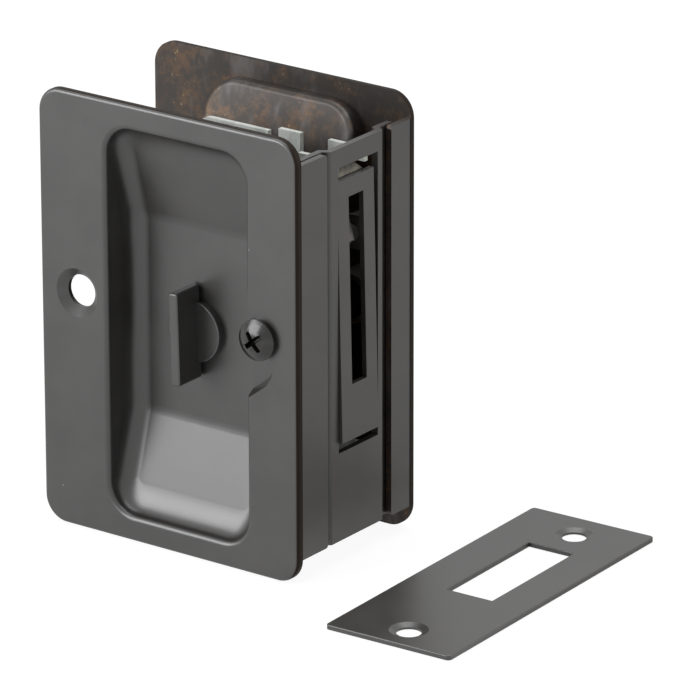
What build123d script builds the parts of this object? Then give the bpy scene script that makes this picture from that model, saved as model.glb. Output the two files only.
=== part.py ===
from build123d import *
from math import atan2, cos, degrees, hypot, radians, sin
import os

# Pocket door privacy lock: two pull plates with finger cups that clamp a sliding door,
# an edge frame between them with a swing-out edge pull, and a hook bolt on a thumb turn.
# Millimetres. X runs across the plates, + towards the door's edge. Y runs through the door,
# + towards the back plate. Z is up. The origin is the middle of the front plate's bottom edge.

os.makedirs("parts", exist_ok=True)

# Plates, alike at front and back
plate_width = 57.15
plate_height = 82.55
plate_thickness = 1.5
plate_corner_radius = 4.7
plate_edge_round = 0.7
lock_depth = 35.44

# Finger cup, drawn into each plate
cup_centre_x = 1.9
cup_mouth_width = 31.0
cup_end_border = 4.8
cup_mouth_height = plate_height - 2 * cup_end_border
cup_corner_radius = 5.5
cup_side_taper = 2.0
cup_ramp_run = 18.0
cup_depth = 8.0
cup_end_depth = 3.0
cup_wall = 1.2
cup_bend_round = 6.0
cup_floor_round = 1.2
cup_mouth_round = 1.0

# Flanges that wrap the door's edge
flange_thickness = 1.2
flange_end_gap = 4.5
flange_height = plate_height - 2 * flange_end_gap
flange_inset = 0.1
flange_corner_round = 0.7
front_flange_reach = 9.2
back_flange_reach = 7.2

# Screws: the line of both screws stands above mid-height
screw_offset_x = 20.4
screw_rise = 3.65
screw_hole_radius = 3.05
dimple_radius = 4.6
dimple_depth = 1.45
dimple_wall = 0.8

# Hollow beside the right-hand screw, as points from the cup's edge and the screw's height
slump_depth = 2.2
slump_draft = 28.0
slump_outline = (
    (-3.0, -13.6),
    (0.5, -11.5),
    (2.1, -10.3),
    (4.3, -8.6),
    (5.4, -7.0),
    (6.0, -5.2),
    (6.3, -3.0),
    (5.4, 2.4),
    (1.2, 4.6),
    (0.6, 7.2),
    (0.2, 10.4),
    (-3.0, 13.4),
)

# Through screw, oval head with a cross recess
screw_shank_radius = 2.08
screw_head_radius = 4.05
screw_head_edge = 0.3
screw_crown = 1.3
screw_proud = 1.2
screw_cone_depth = 1.85
screw_tip_gap = 4.6
cross_width = 1.0
cross_span = 4.6
cross_depth = 1.8
cross_turn = 38.0
cross_draft = 12.0
thread_gap = 0.05

# Screw posts on the back plate
post_radius = 3.0
post_length = 12.5
post_spigot_radius = 2.4
post_flange_radius = 3.5
post_boss_wall = 1.0
post_flange_thickness = 1.0
post_gap = 0.3

# Edge frame
frame_thickness = 1.2
frame_inset = 0.2
frame_from_front = 10.45
frame_to_back = 9.6
frame_width = lock_depth - frame_from_front - frame_to_back
frame_end_gap = 4.45
frame_height = plate_height - 2 * frame_end_gap
joggle_run = 0.9
sheet_gap = 0.3
front_wing_reach = 6.8
back_wing_reach = 4.6
window_side_border = 1.8
window_shift = 0.4
window_width = frame_width - 2 * window_side_border
window_top_border = 3.6
window_bottom_border = 16.75
window_height = frame_height - window_top_border - window_bottom_border
lug_radius = 3.0
lug_thickness = 1.2
frame_edge_round = 0.4

# Edge pull
pull_side_gap = 0.5
pull_width = window_width - 2 * pull_side_gap
pull_thickness = 1.0
pull_top_gap = 2.75
pull_bottom_gap = 1.9
pull_slot_side_land = 3.2
pull_slot_width = pull_width - 2 * pull_slot_side_land
pull_slot_top_land = 3.45
pull_slot_bottom_land = 10.3
pull_lean = 1.2
ear_radius = 3.2
ear_thickness = 1.0
pivot_inset = 4.2
pivot_below_pull_top = 12.5
running_gap = 0.05
rivet_radius = 1.2
rivet_head_radius = 1.6
rivet_head_thickness = 0.5

# Leaf spring behind the pull's top
leaf_thickness = 0.5
leaf_side_gap = 2.2
leaf_width = window_width - 2 * leaf_side_gap
leaf_crown_radius = 4.6
leaf_rise = 1.7
leaf_foot = 0.5
leaf_shoulder = 6.0
leaf_hollow = (-1.6, 1.2)
leaf_belly_rise = 3.2
leaf_tip_back = 1.2

# Case sides
case_thickness = 1.0
case_side_inset = 3.8
case_inner_width = frame_width - 2 * case_side_inset
case_left = -9.7
case_arm_reach = 6.8
case_top_gap = 2.6
case_bottom_gap = 3.5
case_corner_radius = 2.6
case_step = 0.9
arm_top_height = 2.5
arm_bottom_height = 12.0
slot_narrow_left = 5.95
slot_narrow_width = 2.3
slot_wide_left = 13.05
slot_wide_width = 6.1
case_slot_depth = 5.0
spacer_radius = 2.0
spacer_tenon_radius = 1.3
spacer_left = -6.6
spacer_right = 14.0
spacer_below_top = 7.0
spacer_above_bottom = 5.0

# Turn, spindle and release
turn_x = 0.7
turn_drop = 1.1
turn_lean = 1.5
turn_throw = 45.0
paddle_length = 17.4
paddle_thickness = 2.0
paddle_below_face = 0.9
paddle_round = 0.6
paddle_edge_round = 0.36
disc_radius = 5.8
disc_thickness = 1.5
neck_radius = 4.0
turn_neck_length = 2.9
release_neck_length = 1.5
groove_radius = 3.3
clip_thickness = 0.8
clip_radius = 5.8
clip_mouth = 5.4
clip_gap = 0.15
spindle_width = 5.0
spindle_thickness = 2.0
fit_gap = 0.06
release_slot_width = 1.6
release_slot_depth = 1.0
disc_round = 0.3
spindle_chamfer = 0.3
hub_end_gap = 0.3

# Hook bolt, drawn about the turn's axis as it stands when thrown
hook_thickness = 2.5
hub_radius = 5.0
hook_hub_radius = 8.5
hook_web = 1.9
hook_nose_reach = 35.9
hook_arm_top = 5.2
hook_arm_bottom = 0.8
hook_nose_run = 3.0
hook_nose_fall = 2.6
hook_barb_inner = 31.4
hook_barb_drop = 5.0
hook_barb_outer = 32.0
hook_barb_width = 1.3
hook_sector_margin = 12.0
arc_slot_gap = 0.4
detent_notch_radius = 1.2
detent_notch_offset = 0.55
detent_strip = 0.6
detent_gap = 0.35
detent_bump = 1.1
detent_bump_half = 3.2
detent_end = 1.5

# Strike plate, lying on the floor beside the lock
strike_length = 67.0
strike_width = 25.9
strike_thickness = 0.9
strike_x = 55.65
strike_from_lock_middle = 3.5
strike_turn = 2.0
strike_slot_end = 20.1
strike_slot_side = 8.2
strike_slot_shift = 5.2
strike_row_side = 0.5
strike_hole_end = 6.7
strike_hole_shift = -0.6
strike_hole_radius = 2.28
strike_sink_radius = 3.5
strike_sink_depth = 0.5
strike_corner_radius = 0.8
strike_edge_round = 0.2

# Distance within which an edge counts as lying on a line
hair = 0.01

# Places worked out from the sizes above
front_face = -plate_thickness / 2
front_seat = plate_thickness / 2
back_face = front_face + lock_depth
back_seat = back_face - plate_thickness
mid_z = plate_height / 2
edge_x = plate_width / 2 - flange_inset
screw_z = mid_z + screw_rise
turn_z = mid_z - turn_drop
wing_outer_x = edge_x - flange_thickness - sheet_gap
frame_x = edge_x - frame_inset
frame_back_x = frame_x - frame_thickness
frame_front_y = front_face + frame_from_front
frame_back_y = frame_front_y + frame_width
middle_y = (frame_front_y + frame_back_y) / 2
window_y = middle_y + window_shift
frame_bottom = frame_end_gap
frame_top = frame_bottom + frame_height
window_top = frame_top - window_top_border
window_bottom = window_top - window_height
pull_top = window_top - pull_top_gap
pull_bottom = window_bottom + pull_bottom_gap
pull_slot_top = pull_top - pull_slot_top_land
pull_slot_height = pull_slot_top - pull_bottom - pull_slot_bottom_land
pivot_x = frame_x - pivot_inset
pivot_z = pull_top - pivot_below_pull_top
front_floor = front_face + cup_depth
back_floor = back_face - cup_depth
case_front_y = middle_y - case_inner_width / 2 - case_thickness
case_back_y = middle_y + case_inner_width / 2
post_front = back_seat - post_length
case_top = frame_top - case_top_gap
case_bottom = frame_bottom + case_bottom_gap
case_right = frame_back_x - case_arm_reach
spacer_top = case_top - spacer_below_top
spacer_bottom = case_bottom + spacer_above_bottom


def across(y):
    """Plane of the lock's front view at the depth y: local x is X, local y is Z."""
    return Plane.XZ.offset(-y)


def cup_form(mouth_y, floor_y, grow):
    """Finger cup's form: nearly straight sides, and a floor that rises in a ramp at either end."""
    into = 1 if floor_y > mouth_y else -1
    rise = cup_depth - cup_end_depth
    with BuildPart() as form:
        with BuildSketch(across(mouth_y)):
            with Locations((cup_centre_x, mid_z)):
                RectangleRounded(
                    cup_mouth_width + 2 * grow,
                    cup_mouth_height + 2 * grow,
                    cup_corner_radius + grow,
                )
        extrude(amount=mouth_y - floor_y, taper=cup_side_taper)
        bend_half = cup_mouth_height / 2 - cup_ramp_run
        for end in (-1, 1):
            bend_z = mid_z + end * bend_half
            far_z = bend_z + end * 2 * cup_ramp_run
            with BuildSketch(Plane.YZ.offset(cup_centre_x - cup_mouth_width)):
                with BuildLine():
                    Polyline(
                        (floor_y, bend_z),
                        (floor_y - into * 2 * rise, far_z),
                        (floor_y + into, far_z),
                        close=True,
                    )
                make_face()
            extrude(amount=2 * cup_mouth_width, mode=Mode.SUBTRACT)
        floor = form.faces().filter_by(Axis.Y).sort_by(Axis.Y)[-1 if into > 0 else 0]
        fillet(floor.edges().filter_by(Axis.X), cup_bend_round)
        bottom = [f for f in form.faces() if f.normal_at().Y * into > cos(radians(45))]
        shared = [e for f in bottom for e in f.edges()]
        fillet([e for e in shared if shared.count(e) == 1], cup_floor_round)
    return form.part


def round_form(centre, start_y, start_radius, end_y, end_radius):
    """Round plug or cone along Y about a point of the front view."""
    with BuildPart() as form:
        with BuildSketch(across(start_y)):
            with Locations(centre):
                Circle(start_radius)
        with BuildSketch(across(end_y)):
            with Locations(centre):
                Circle(end_radius)
        loft(ruled=True)
    return form.part


def flange_form(start_y, end_y):
    """Flat flange along the door's edge, its two free corners rounded."""
    low, high = sorted((start_y, end_y))
    with BuildPart() as form:
        with BuildSketch(Plane.YZ.offset(edge_x - flange_thickness)):
            with Locations(((low + high) / 2, mid_z)):
                Rectangle(high - low, flange_height)
        extrude(amount=flange_thickness)
        free = form.edges().filter_by(Axis.X).filter_by_position(Axis.Y, end_y - hair, end_y + hair)
        fillet(free, flange_corner_round)
    return form.part


def slump_form(start_y, depth, grow):
    """Hollow between the right-hand dimple and the cup's edge, where the sheet is drawn down."""
    edge = cup_centre_x + cup_mouth_width / 2
    outline = [(edge + run, screw_z + rise) for run, rise in slump_outline]
    with BuildPart() as form:
        with BuildSketch(across(start_y)):
            with BuildLine():
                Polyline(*outline, close=True)
            make_face()
            if grow > 0:
                offset(amount=grow)
        extrude(amount=-depth, taper=slump_draft)
    return form.part


# Front plate: slab, flange, cup, screw dimples and the turn's hole
dimple_places = [(side * screw_offset_x, screw_z) for side in (-1, 1)]
dimple_end = front_face + dimple_depth + dimple_wall
with BuildPart() as front_plate:
    with BuildSketch(across(front_face)):
        with Locations((0, mid_z)):
            RectangleRounded(plate_width, plate_height, plate_corner_radius)
    extrude(amount=-plate_thickness)
    fillet(front_plate.faces().sort_by(Axis.Y)[0].edges(), plate_edge_round)
    add(cup_form(front_seat, front_floor + cup_wall, cup_wall))
    add(flange_form(front_face + plate_edge_round, front_face + front_flange_reach))
    add(slump_form(front_face + plate_edge_round, slump_depth + dimple_wall, dimple_wall))
    for centre in dimple_places:
        outer_radii = (dimple_radius + dimple_wall, screw_hole_radius + dimple_wall)
        add(round_form(centre, front_seat, outer_radii[0], dimple_end, outer_radii[1]))
    add(cup_form(front_face, front_floor, 0), mode=Mode.SUBTRACT)
    mouth = front_plate.faces().sort_by(Axis.Y)[0].inner_wires()[0].edges()
    fillet(mouth, cup_mouth_round)
    add(slump_form(front_face, slump_depth, 0), mode=Mode.SUBTRACT)
    # The cup's wall is drawn in round the right-hand screw
    with BuildSketch(across(front_face + screw_head_edge)):
        with Locations(dimple_places[1]):
            Circle(screw_hole_radius + dimple_wall)
    extrude(amount=-(cup_depth + cup_wall - screw_head_edge))
    for centre in dimple_places:
        seat_y = front_face + dimple_depth
        add(round_form(centre, front_face, dimple_radius, seat_y, screw_hole_radius), mode=Mode.SUBTRACT)
    with BuildSketch(across(front_face)):
        with Locations(*dimple_places):
            Circle(screw_hole_radius)
        with Locations((turn_x, turn_z)):
            Circle(neck_radius + running_gap)
    extrude(amount=-(cup_depth + cup_wall), mode=Mode.SUBTRACT)

# Back plate: the same drawn plate, its flange shorter, with seats for the screw posts
post_places = [(side * screw_offset_x, screw_z) for side in (-1, 1)]
with BuildPart() as back_plate:
    with BuildSketch(across(back_face)):
        with Locations((0, mid_z)):
            RectangleRounded(plate_width, plate_height, plate_corner_radius)
    extrude(amount=plate_thickness)
    fillet(back_plate.faces().sort_by(Axis.Y)[-1].edges(), plate_edge_round)
    add(cup_form(back_seat, back_floor - cup_wall, cup_wall))
    add(flange_form(back_face - plate_edge_round, back_face - back_flange_reach))
    add(cup_form(back_face, back_floor, 0), mode=Mode.SUBTRACT)
    mouth = back_plate.faces().sort_by(Axis.Y)[-1].inner_wires()[0].edges()
    fillet(mouth, cup_mouth_round)
    # The cup's wall is drawn in round the right-hand post
    with BuildSketch(across(back_face)):
        with Locations(post_places[1]):
            Circle(post_flange_radius + post_gap + post_boss_wall)
    extrude(amount=cup_depth + cup_wall)
    with BuildSketch(across(back_seat)):
        with Locations(*post_places):
            Circle(post_flange_radius + post_gap)
    extrude(amount=cup_depth - plate_thickness + cup_wall, mode=Mode.SUBTRACT)
    with BuildSketch(across(back_face)):
        with Locations(*post_places):
            Circle(post_spigot_radius)
    extrude(amount=plate_thickness, mode=Mode.SUBTRACT)
    with BuildSketch(across(back_floor)):
        with Locations((turn_x, turn_z)):
            Circle(neck_radius + running_gap)
    extrude(amount=cup_wall, mode=Mode.SUBTRACT)

# Screw posts, riveted into the back plate and tapped for the through screws
with BuildPart() as screw_posts:
    with BuildSketch(across(back_seat)):
        with Locations(*post_places):
            Circle(post_radius)
    extrude(amount=post_length)
    with BuildSketch(across(back_seat)):
        with Locations(*post_places):
            Circle(post_flange_radius)
    extrude(amount=post_flange_thickness)
    with BuildSketch(across(back_face)):
        with Locations(*post_places):
            Circle(post_spigot_radius)
    extrude(amount=plate_thickness)
    with BuildSketch(across(post_front)):
        with Locations(*post_places):
            Circle(screw_shank_radius + thread_gap)
    extrude(amount=-post_length, mode=Mode.SUBTRACT)

# Through screw: oval head over the right-hand dimple, not yet drawn quite home
screw_x = screw_offset_x
dimple_slope = dimple_depth / (dimple_radius - screw_hole_radius)
cone_y = front_face + dimple_slope * (dimple_radius - screw_head_radius) - screw_proud
crown_sphere = (screw_head_radius**2 + screw_crown**2) / (2 * screw_crown)
with BuildPart() as through_screw:
    with BuildSketch(Plane.XY.offset(screw_z)):
        with BuildLine():
            rim_y = cone_y - screw_head_edge
            under_y = cone_y + screw_cone_depth
            tip_y = back_seat - screw_tip_gap
            top = (screw_x, rim_y - screw_crown)
            rim = (screw_x + screw_head_radius, rim_y)
            RadiusArc(top, rim, -crown_sphere)
            Polyline(
                rim,
                (screw_x + screw_head_radius, cone_y),
                (screw_x + screw_shank_radius, under_y),
                (screw_x + screw_shank_radius, tip_y),
                (screw_x, tip_y),
                top,
            )
        make_face()
    revolve(axis=Axis((screw_x, 0, screw_z), (0, 1, 0)))
    with BuildSketch(across(rim_y - screw_crown)):
        with Locations((screw_x, screw_z)):
            with Locations(Location((0, 0, 0), (0, 0, cross_turn))):
                Rectangle(cross_span, cross_width)
                Rectangle(cross_width, cross_span)
    extrude(amount=-cross_depth, taper=cross_draft, mode=Mode.SUBTRACT)

# Edge frame: one folded strip, its wings stepped in behind both flanges
with BuildPart() as edge_frame:
    with BuildSketch(Plane.XY.offset(frame_bottom)):
        with BuildLine():
            outer = [
                (wing_outer_x, frame_front_y - front_wing_reach),
                (wing_outer_x, frame_front_y - joggle_run),
                (frame_x, frame_front_y),
                (frame_x, frame_back_y),
                (wing_outer_x, frame_back_y + joggle_run),
                (wing_outer_x, frame_back_y + back_wing_reach),
            ]
            slant = frame_thickness / 2
            inner = [
                (wing_outer_x - frame_thickness, frame_back_y + back_wing_reach),
                (wing_outer_x - frame_thickness, frame_back_y + joggle_run - slant),
                (frame_back_x, frame_back_y - slant),
                (frame_back_x, frame_front_y + slant),
                (wing_outer_x - frame_thickness, frame_front_y - joggle_run + slant),
                (wing_outer_x - frame_thickness, frame_front_y - front_wing_reach),
            ]
            Polyline(*outer, *inner, close=True)
        make_face()
    extrude(amount=frame_height)
    upright = edge_frame.edges().filter_by(Axis.Z)
    fillet(upright.filter_by_position(Axis.X, frame_x - hair, frame_x + hair), frame_edge_round)
    with BuildSketch(Plane.YZ.offset(frame_back_x)):
        with Locations((window_y, (window_bottom + window_top) / 2)):
            Rectangle(window_width, window_height)
    extrude(amount=frame_thickness, mode=Mode.SUBTRACT)
    # Lugs folded in from the window's sides carry the edge pull's rivets
    for side in (-1, 1):
        lug_y = window_y + side * (window_width + lug_thickness) / 2
        with BuildSketch(across(lug_y - lug_thickness / 2)):
            with Locations((pivot_x, pivot_z)):
                Circle(lug_radius)
            with Locations(((pivot_x + frame_back_x) / 2, pivot_z)):
                Rectangle(frame_back_x - pivot_x, 2 * lug_radius)
            with Locations((pivot_x, pivot_z)):
                Circle(rivet_radius + running_gap / 2, mode=Mode.SUBTRACT)
        extrude(amount=-lug_thickness)

# Edge pull: slotted face with two ears, leaning out a little at its foot as it hangs
with BuildPart() as edge_pull:
    with BuildSketch(Plane.YZ.offset(frame_x - pull_thickness)):
        with Locations((middle_y, (pull_top + pull_bottom) / 2)):
            Rectangle(pull_width, pull_top - pull_bottom)
        with Locations((middle_y, pull_slot_top - pull_slot_height / 2)):
            Rectangle(pull_slot_width, pull_slot_height, mode=Mode.SUBTRACT)
    extrude(amount=pull_thickness)
    for side in (-1, 1):
        ear_y = middle_y + side * (pull_width - ear_thickness) / 2
        with BuildSketch(across(ear_y - ear_thickness / 2)):
            with Locations((pivot_x, pivot_z)):
                Circle(ear_radius)
            with Locations(((pivot_x + frame_x - pull_thickness) / 2, pivot_z)):
                Rectangle(frame_x - pull_thickness - pivot_x, 2 * ear_radius)
            with Locations((pivot_x, pivot_z)):
                Circle(rivet_radius + running_gap, mode=Mode.SUBTRACT)
        extrude(amount=-ear_thickness)
edge_pull.part = edge_pull.part.rotate(Axis((pivot_x, 0, pivot_z), (0, 1, 0)), -pull_lean)

# Two rivets through lug and ear, headed at both ends
with BuildPart() as pull_rivets:
    for side in (-1, 1):
        lug_outer = window_y + side * (window_width / 2 + lug_thickness)
        ear_inner = middle_y + side * (pull_width / 2 - ear_thickness)
        heads = [
            (lug_outer, lug_outer + side * rivet_head_thickness, rivet_head_radius),
            (lug_outer, ear_inner - side * running_gap, rivet_radius),
            (ear_inner - side * running_gap, ear_inner - side * rivet_head_thickness, rivet_head_radius),
        ]
        for start, end, radius in heads:
            with BuildSketch(across(start)):
                with Locations((pivot_x, pivot_z)):
                    Circle(radius)
            extrude(amount=start - end)

# Leaf spring: its domed end shows above the edge pull, its foot hangs on the top spacer
leaf_end_x = frame_back_x - sheet_gap
with BuildPart() as pull_spring:
    with BuildSketch(across(middle_y - leaf_width / 2)):
        with BuildLine() as leaf_line:
            Spline(
                (spacer_right - leaf_foot, spacer_top + spacer_radius + leaf_thickness / 2),
                (spacer_right + leaf_shoulder, spacer_top + spacer_radius),
                (leaf_end_x + leaf_hollow[0], spacer_top + leaf_hollow[1]),
                (leaf_end_x - leaf_thickness / 2, spacer_top + leaf_belly_rise),
                (leaf_end_x - leaf_tip_back, pull_top + leaf_rise),
                tangents=((1, 0), (-0.5, 1)),
            )
        trace(line_width=leaf_thickness)
    extrude(amount=-leaf_width)
    crown_z = pull_top + leaf_rise + leaf_thickness / 2 - leaf_crown_radius
    with BuildSketch(Plane.YZ.offset(leaf_end_x - leaf_crown_radius)):
        with Locations((middle_y, crown_z + leaf_crown_radius)):
            Rectangle(2 * leaf_width, 2 * leaf_crown_radius)
        with Locations((middle_y, crown_z)):
            Circle(leaf_crown_radius, mode=Mode.SUBTRACT)
    extrude(amount=2 * leaf_crown_radius, mode=Mode.SUBTRACT)


def case_side(start_y):
    """One stamped side of the case: arms to the edge frame, slots in its stepped top edge."""
    step_x = slot_narrow_left + slot_narrow_width / 2
    with BuildPart() as plate:
        with BuildSketch(across(start_y)) as outline:
            with BuildLine():
                Polyline(
                    (case_left, case_bottom),
                    (frame_back_x, case_bottom),
                    (frame_back_x, case_bottom + arm_bottom_height),
                    (case_right, case_bottom + arm_bottom_height),
                    (case_right, case_top - arm_top_height),
                    (frame_back_x, case_top - arm_top_height),
                    (frame_back_x, case_top),
                    (step_x, case_top),
                    (step_x, case_top - case_step),
                    (case_left, case_top - case_step),
                    close=True,
                )
            make_face()
            left_corners = outline.vertices().sort_by(Axis.X)[:2]
            fillet(left_corners, case_corner_radius)
            for left, width in ((slot_narrow_left, slot_narrow_width), (slot_wide_left, slot_wide_width)):
                with Locations((left + width / 2, case_top - case_slot_depth / 2)):
                    Rectangle(width, case_slot_depth, mode=Mode.SUBTRACT)
            with Locations((turn_x, turn_z)):
                Circle(hub_radius + running_gap, mode=Mode.SUBTRACT)
            with Locations((screw_offset_x, screw_z)):
                Circle(post_radius + post_gap, mode=Mode.SUBTRACT)
            with Locations(*spacer_places):
                Circle(spacer_tenon_radius, mode=Mode.SUBTRACT)
        extrude(amount=-case_thickness)
    return plate.part


spacer_places = [(x, z) for x in (spacer_left, spacer_right) for z in (spacer_bottom, spacer_top)]
with BuildPart() as case_front_side:
    add(case_side(case_front_y))
with BuildPart() as case_back_side:
    add(case_side(case_back_y))

# Four shouldered spacers riveted between the case sides
with BuildPart() as case_spacers:
    with BuildSketch(across(case_front_y + case_thickness)):
        with Locations(*spacer_places):
            Circle(spacer_radius)
    extrude(amount=-case_inner_width)
    with BuildSketch(across(case_front_y)):
        with Locations(*spacer_places):
            Circle(spacer_tenon_radius)
    extrude(amount=-(case_inner_width + 2 * case_thickness))

# Hook bolt: hub, curved slot that clears the through screw, and an arm that ends in a barb.
# It is drawn thrown, about the turn's axis, and set back to the unlocked rest by its throw.
screw_from_turn = (screw_offset_x - turn_x, screw_z - turn_z)
arc_radius = hypot(*screw_from_turn)
arc_end = degrees(atan2(screw_from_turn[1], screw_from_turn[0]))
arc_half_width = screw_shank_radius + arc_slot_gap
hook_rim_radius = arc_radius + arc_half_width + hook_web
hook_front = middle_y - hook_thickness / 2
hook_plane = Plane(origin=(turn_x, hook_front, turn_z), x_dir=(1, 0, 0), z_dir=(0, -1, 0))
with BuildPart() as hook_bolt:
    with BuildSketch(hook_plane) as hook_shape:
        Circle(hook_hub_radius)
        # Sector that carries the curved slot
        with BuildLine():
            rim_low = arc_end - turn_throw - hook_sector_margin
            rim_high = arc_end + hook_sector_margin
            start = (hook_rim_radius * cos(radians(rim_low)), hook_rim_radius * sin(radians(rim_low)))
            end = (hook_rim_radius * cos(radians(rim_high)), hook_rim_radius * sin(radians(rim_high)))
            CenterArc((0, 0), hook_rim_radius, rim_low, rim_high - rim_low)
            Polyline(end, (0, 0), start)
        make_face()
        # Arm and barb
        with BuildLine():
            Polyline(
                (0, hook_hub_radius),
                (hook_nose_reach - hook_nose_run, hook_arm_top),
                (hook_nose_reach, hook_arm_top - hook_nose_fall),
                (hook_barb_outer, -hook_barb_drop),
                (hook_barb_outer - hook_barb_width, -hook_barb_drop),
                (hook_barb_inner, hook_arm_bottom),
                (0, hook_arm_bottom),
                close=True,
            )
        make_face()
        Circle(hub_radius, mode=Mode.SUBTRACT)
        # Curved slot
        with BuildLine():
            for radius in (arc_radius - arc_half_width, arc_radius + arc_half_width):
                CenterArc((0, 0), radius, arc_end - turn_throw, turn_throw)
            for angle, sweep_sign in ((arc_end, 180), (arc_end - turn_throw, -180)):
                at = (arc_radius * cos(radians(angle)), arc_radius * sin(radians(angle)))
                CenterArc(at, arc_half_width, angle, sweep_sign)
        make_face(mode=Mode.SUBTRACT)
        # Notches for the two held positions, on the hub's far side
        for angle in (180 - turn_throw, 180):
            with PolarLocations(hook_hub_radius + detent_notch_offset, 1, start_angle=angle):
                Circle(detent_notch_radius, mode=Mode.SUBTRACT)
    extrude(amount=-hook_thickness)
turn_axis = Axis((turn_x, 0, turn_z), (0, 1, 0))
hook_bolt.part = hook_bolt.part.rotate(turn_axis, -turn_throw)

# Hub, carried in both case sides, with a flat hole for the spindle
hub_start = case_front_y - hub_end_gap
hub_length = case_inner_width + 2 * (case_thickness + hub_end_gap)
with BuildPart() as hook_hub:
    with BuildSketch(across(hub_start)):
        with Locations((turn_x, turn_z)):
            Circle(hub_radius)
            Rectangle(spindle_thickness + 2 * fit_gap, spindle_width + 2 * fit_gap, mode=Mode.SUBTRACT)
    extrude(amount=-hub_length)

# Flat spindle from the turn to the release
spindle_start = front_floor - disc_thickness / 2
spindle_end = back_floor + disc_thickness / 2
with BuildPart() as spindle:
    with BuildSketch(across(spindle_start)):
        with Locations((turn_x, turn_z)):
            Rectangle(spindle_thickness, spindle_width)
    extrude(amount=spindle_start - spindle_end)
    chamfer(spindle.faces().filter_by(Axis.Y).edges(), spindle_chamfer)


def collar_form(floor_y, inward, neck_length):
    """Disc on a cup's floor with its neck through the floor, grooved for a clip."""
    face_y = floor_y - inward * disc_thickness
    neck_end = floor_y + inward * (cup_wall + neck_length)
    groove_y = floor_y + inward * (cup_wall + clip_gap)
    with BuildPart() as form:
        for start, end, radius in (
            (face_y, floor_y, disc_radius),
            (floor_y, groove_y, neck_radius),
            (groove_y, groove_y + inward * (clip_thickness + fit_gap), groove_radius),
            (groove_y + inward * (clip_thickness + fit_gap), neck_end, neck_radius),
        ):
            with BuildSketch(across(start)):
                with Locations((turn_x, turn_z)):
                    Circle(radius)
            extrude(amount=start - end)
        with BuildSketch(across(floor_y - inward * disc_thickness / 2)):
            with Locations((turn_x, turn_z)):
                Rectangle(spindle_thickness + 2 * fit_gap, spindle_width + 2 * fit_gap)
        extrude(amount=-inward * (disc_thickness + cup_wall + neck_length), mode=Mode.SUBTRACT)
        outer_rim = form.faces().filter_by(Axis.Y).sort_by(Axis.Y)[0 if inward > 0 else -1].edges()
        fillet(outer_rim, disc_round)
    return form.part


def clip_form(floor_y, inward):
    """Open ring in the neck's groove, behind the cup's floor."""
    start = floor_y + inward * (cup_wall + clip_gap + fit_gap / 2)
    with BuildPart() as form:
        with BuildSketch(across(start)):
            with Locations((turn_x, turn_z)):
                Circle(clip_radius)
                Circle(groove_radius + fit_gap, mode=Mode.SUBTRACT)
            with Locations((turn_x, turn_z - clip_radius)):
                Rectangle(clip_mouth, clip_radius * 2, mode=Mode.SUBTRACT)
        extrude(amount=-inward * clip_thickness)
    return form.part


# Thumb turn: a paddle standing on its collar, all one casting
paddle_front = front_face + paddle_below_face
with BuildPart() as turn:
    add(collar_form(front_floor, 1, turn_neck_length))
    with BuildSketch(across(paddle_front)):
        with Locations((turn_x, turn_z)):
            with Locations(Location((0, 0, 0), (0, 0, turn_lean))):
                RectangleRounded(paddle_thickness, paddle_length, paddle_round)
    extrude(amount=paddle_front - front_floor + disc_thickness / 2)
    fillet(turn.faces().sort_by(Axis.Y)[0].edges(), paddle_edge_round)

with BuildPart() as turn_clip:
    add(clip_form(front_floor, 1))

# Emergency release on the back: a slotted disc that a coin turns
with BuildPart() as release_disc:
    add(collar_form(back_floor, -1, release_neck_length))
    with BuildSketch(across(back_floor + disc_thickness)):
        with Locations((turn_x, turn_z)):
            with Locations(Location((0, 0, 0), (0, 0, turn_lean))):
                Rectangle(release_slot_width, 3 * disc_radius)
    extrude(amount=release_slot_depth, mode=Mode.SUBTRACT)

with BuildPart() as release_clip:
    add(clip_form(back_floor, -1))

# Detent spring: a bowed strip whose middle faces the hub's notches
strip_x = spacer_left - spacer_radius - detent_strip / 2
bump_x = turn_x - hook_hub_radius - detent_gap - detent_strip / 2
with BuildPart() as detent_spring:
    with BuildSketch(across(hook_front)):
        with BuildLine() as strip:
            Polyline(
                (strip_x, spacer_bottom - detent_end),
                (strip_x, spacer_bottom + detent_end),
                (bump_x - detent_bump, turn_z - detent_bump_half),
                (bump_x, turn_z),
                (bump_x - detent_bump, turn_z + detent_bump_half),
                (strip_x, spacer_top - detent_end),
                (strip_x, spacer_top + detent_end),
            )
        trace(line_width=detent_strip)
    extrude(amount=-hook_thickness)

# Strike plate for the jamb
lock_middle_y = front_face + lock_depth / 2
strike_plane = Plane(
    origin=(strike_x, lock_middle_y + strike_from_lock_middle, 0),
    x_dir=(cos(radians(strike_turn)), sin(radians(strike_turn)), 0),
    z_dir=(0, 0, 1),
)
with BuildPart() as strike_plate:
    with BuildSketch(strike_plane):
        RectangleRounded(strike_width, strike_length, strike_corner_radius)
        with Locations((strike_row_side, strike_slot_shift)):
            Rectangle(
                strike_width - 2 * strike_slot_side,
                strike_length - 2 * strike_slot_end,
                mode=Mode.SUBTRACT,
            )
    extrude(amount=strike_thickness)
    fillet(strike_plate.faces().sort_by(Axis.Z)[-1].edges(), strike_edge_round)
    half_spacing = strike_length / 2 - strike_hole_end
    hole_places = [(strike_row_side, strike_hole_shift + side * half_spacing) for side in (-1, 1)]
    sink_draft = degrees(atan2(strike_sink_radius - strike_hole_radius, strike_sink_depth))
    with BuildSketch(strike_plane):
        with Locations(*hole_places):
            Circle(strike_hole_radius)
    extrude(amount=strike_thickness, mode=Mode.SUBTRACT)
    with BuildSketch(strike_plane.offset(strike_thickness)):
        with Locations(*hole_places):
            Circle(strike_sink_radius)
    extrude(amount=-strike_sink_depth, taper=sink_draft, mode=Mode.SUBTRACT)

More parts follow.
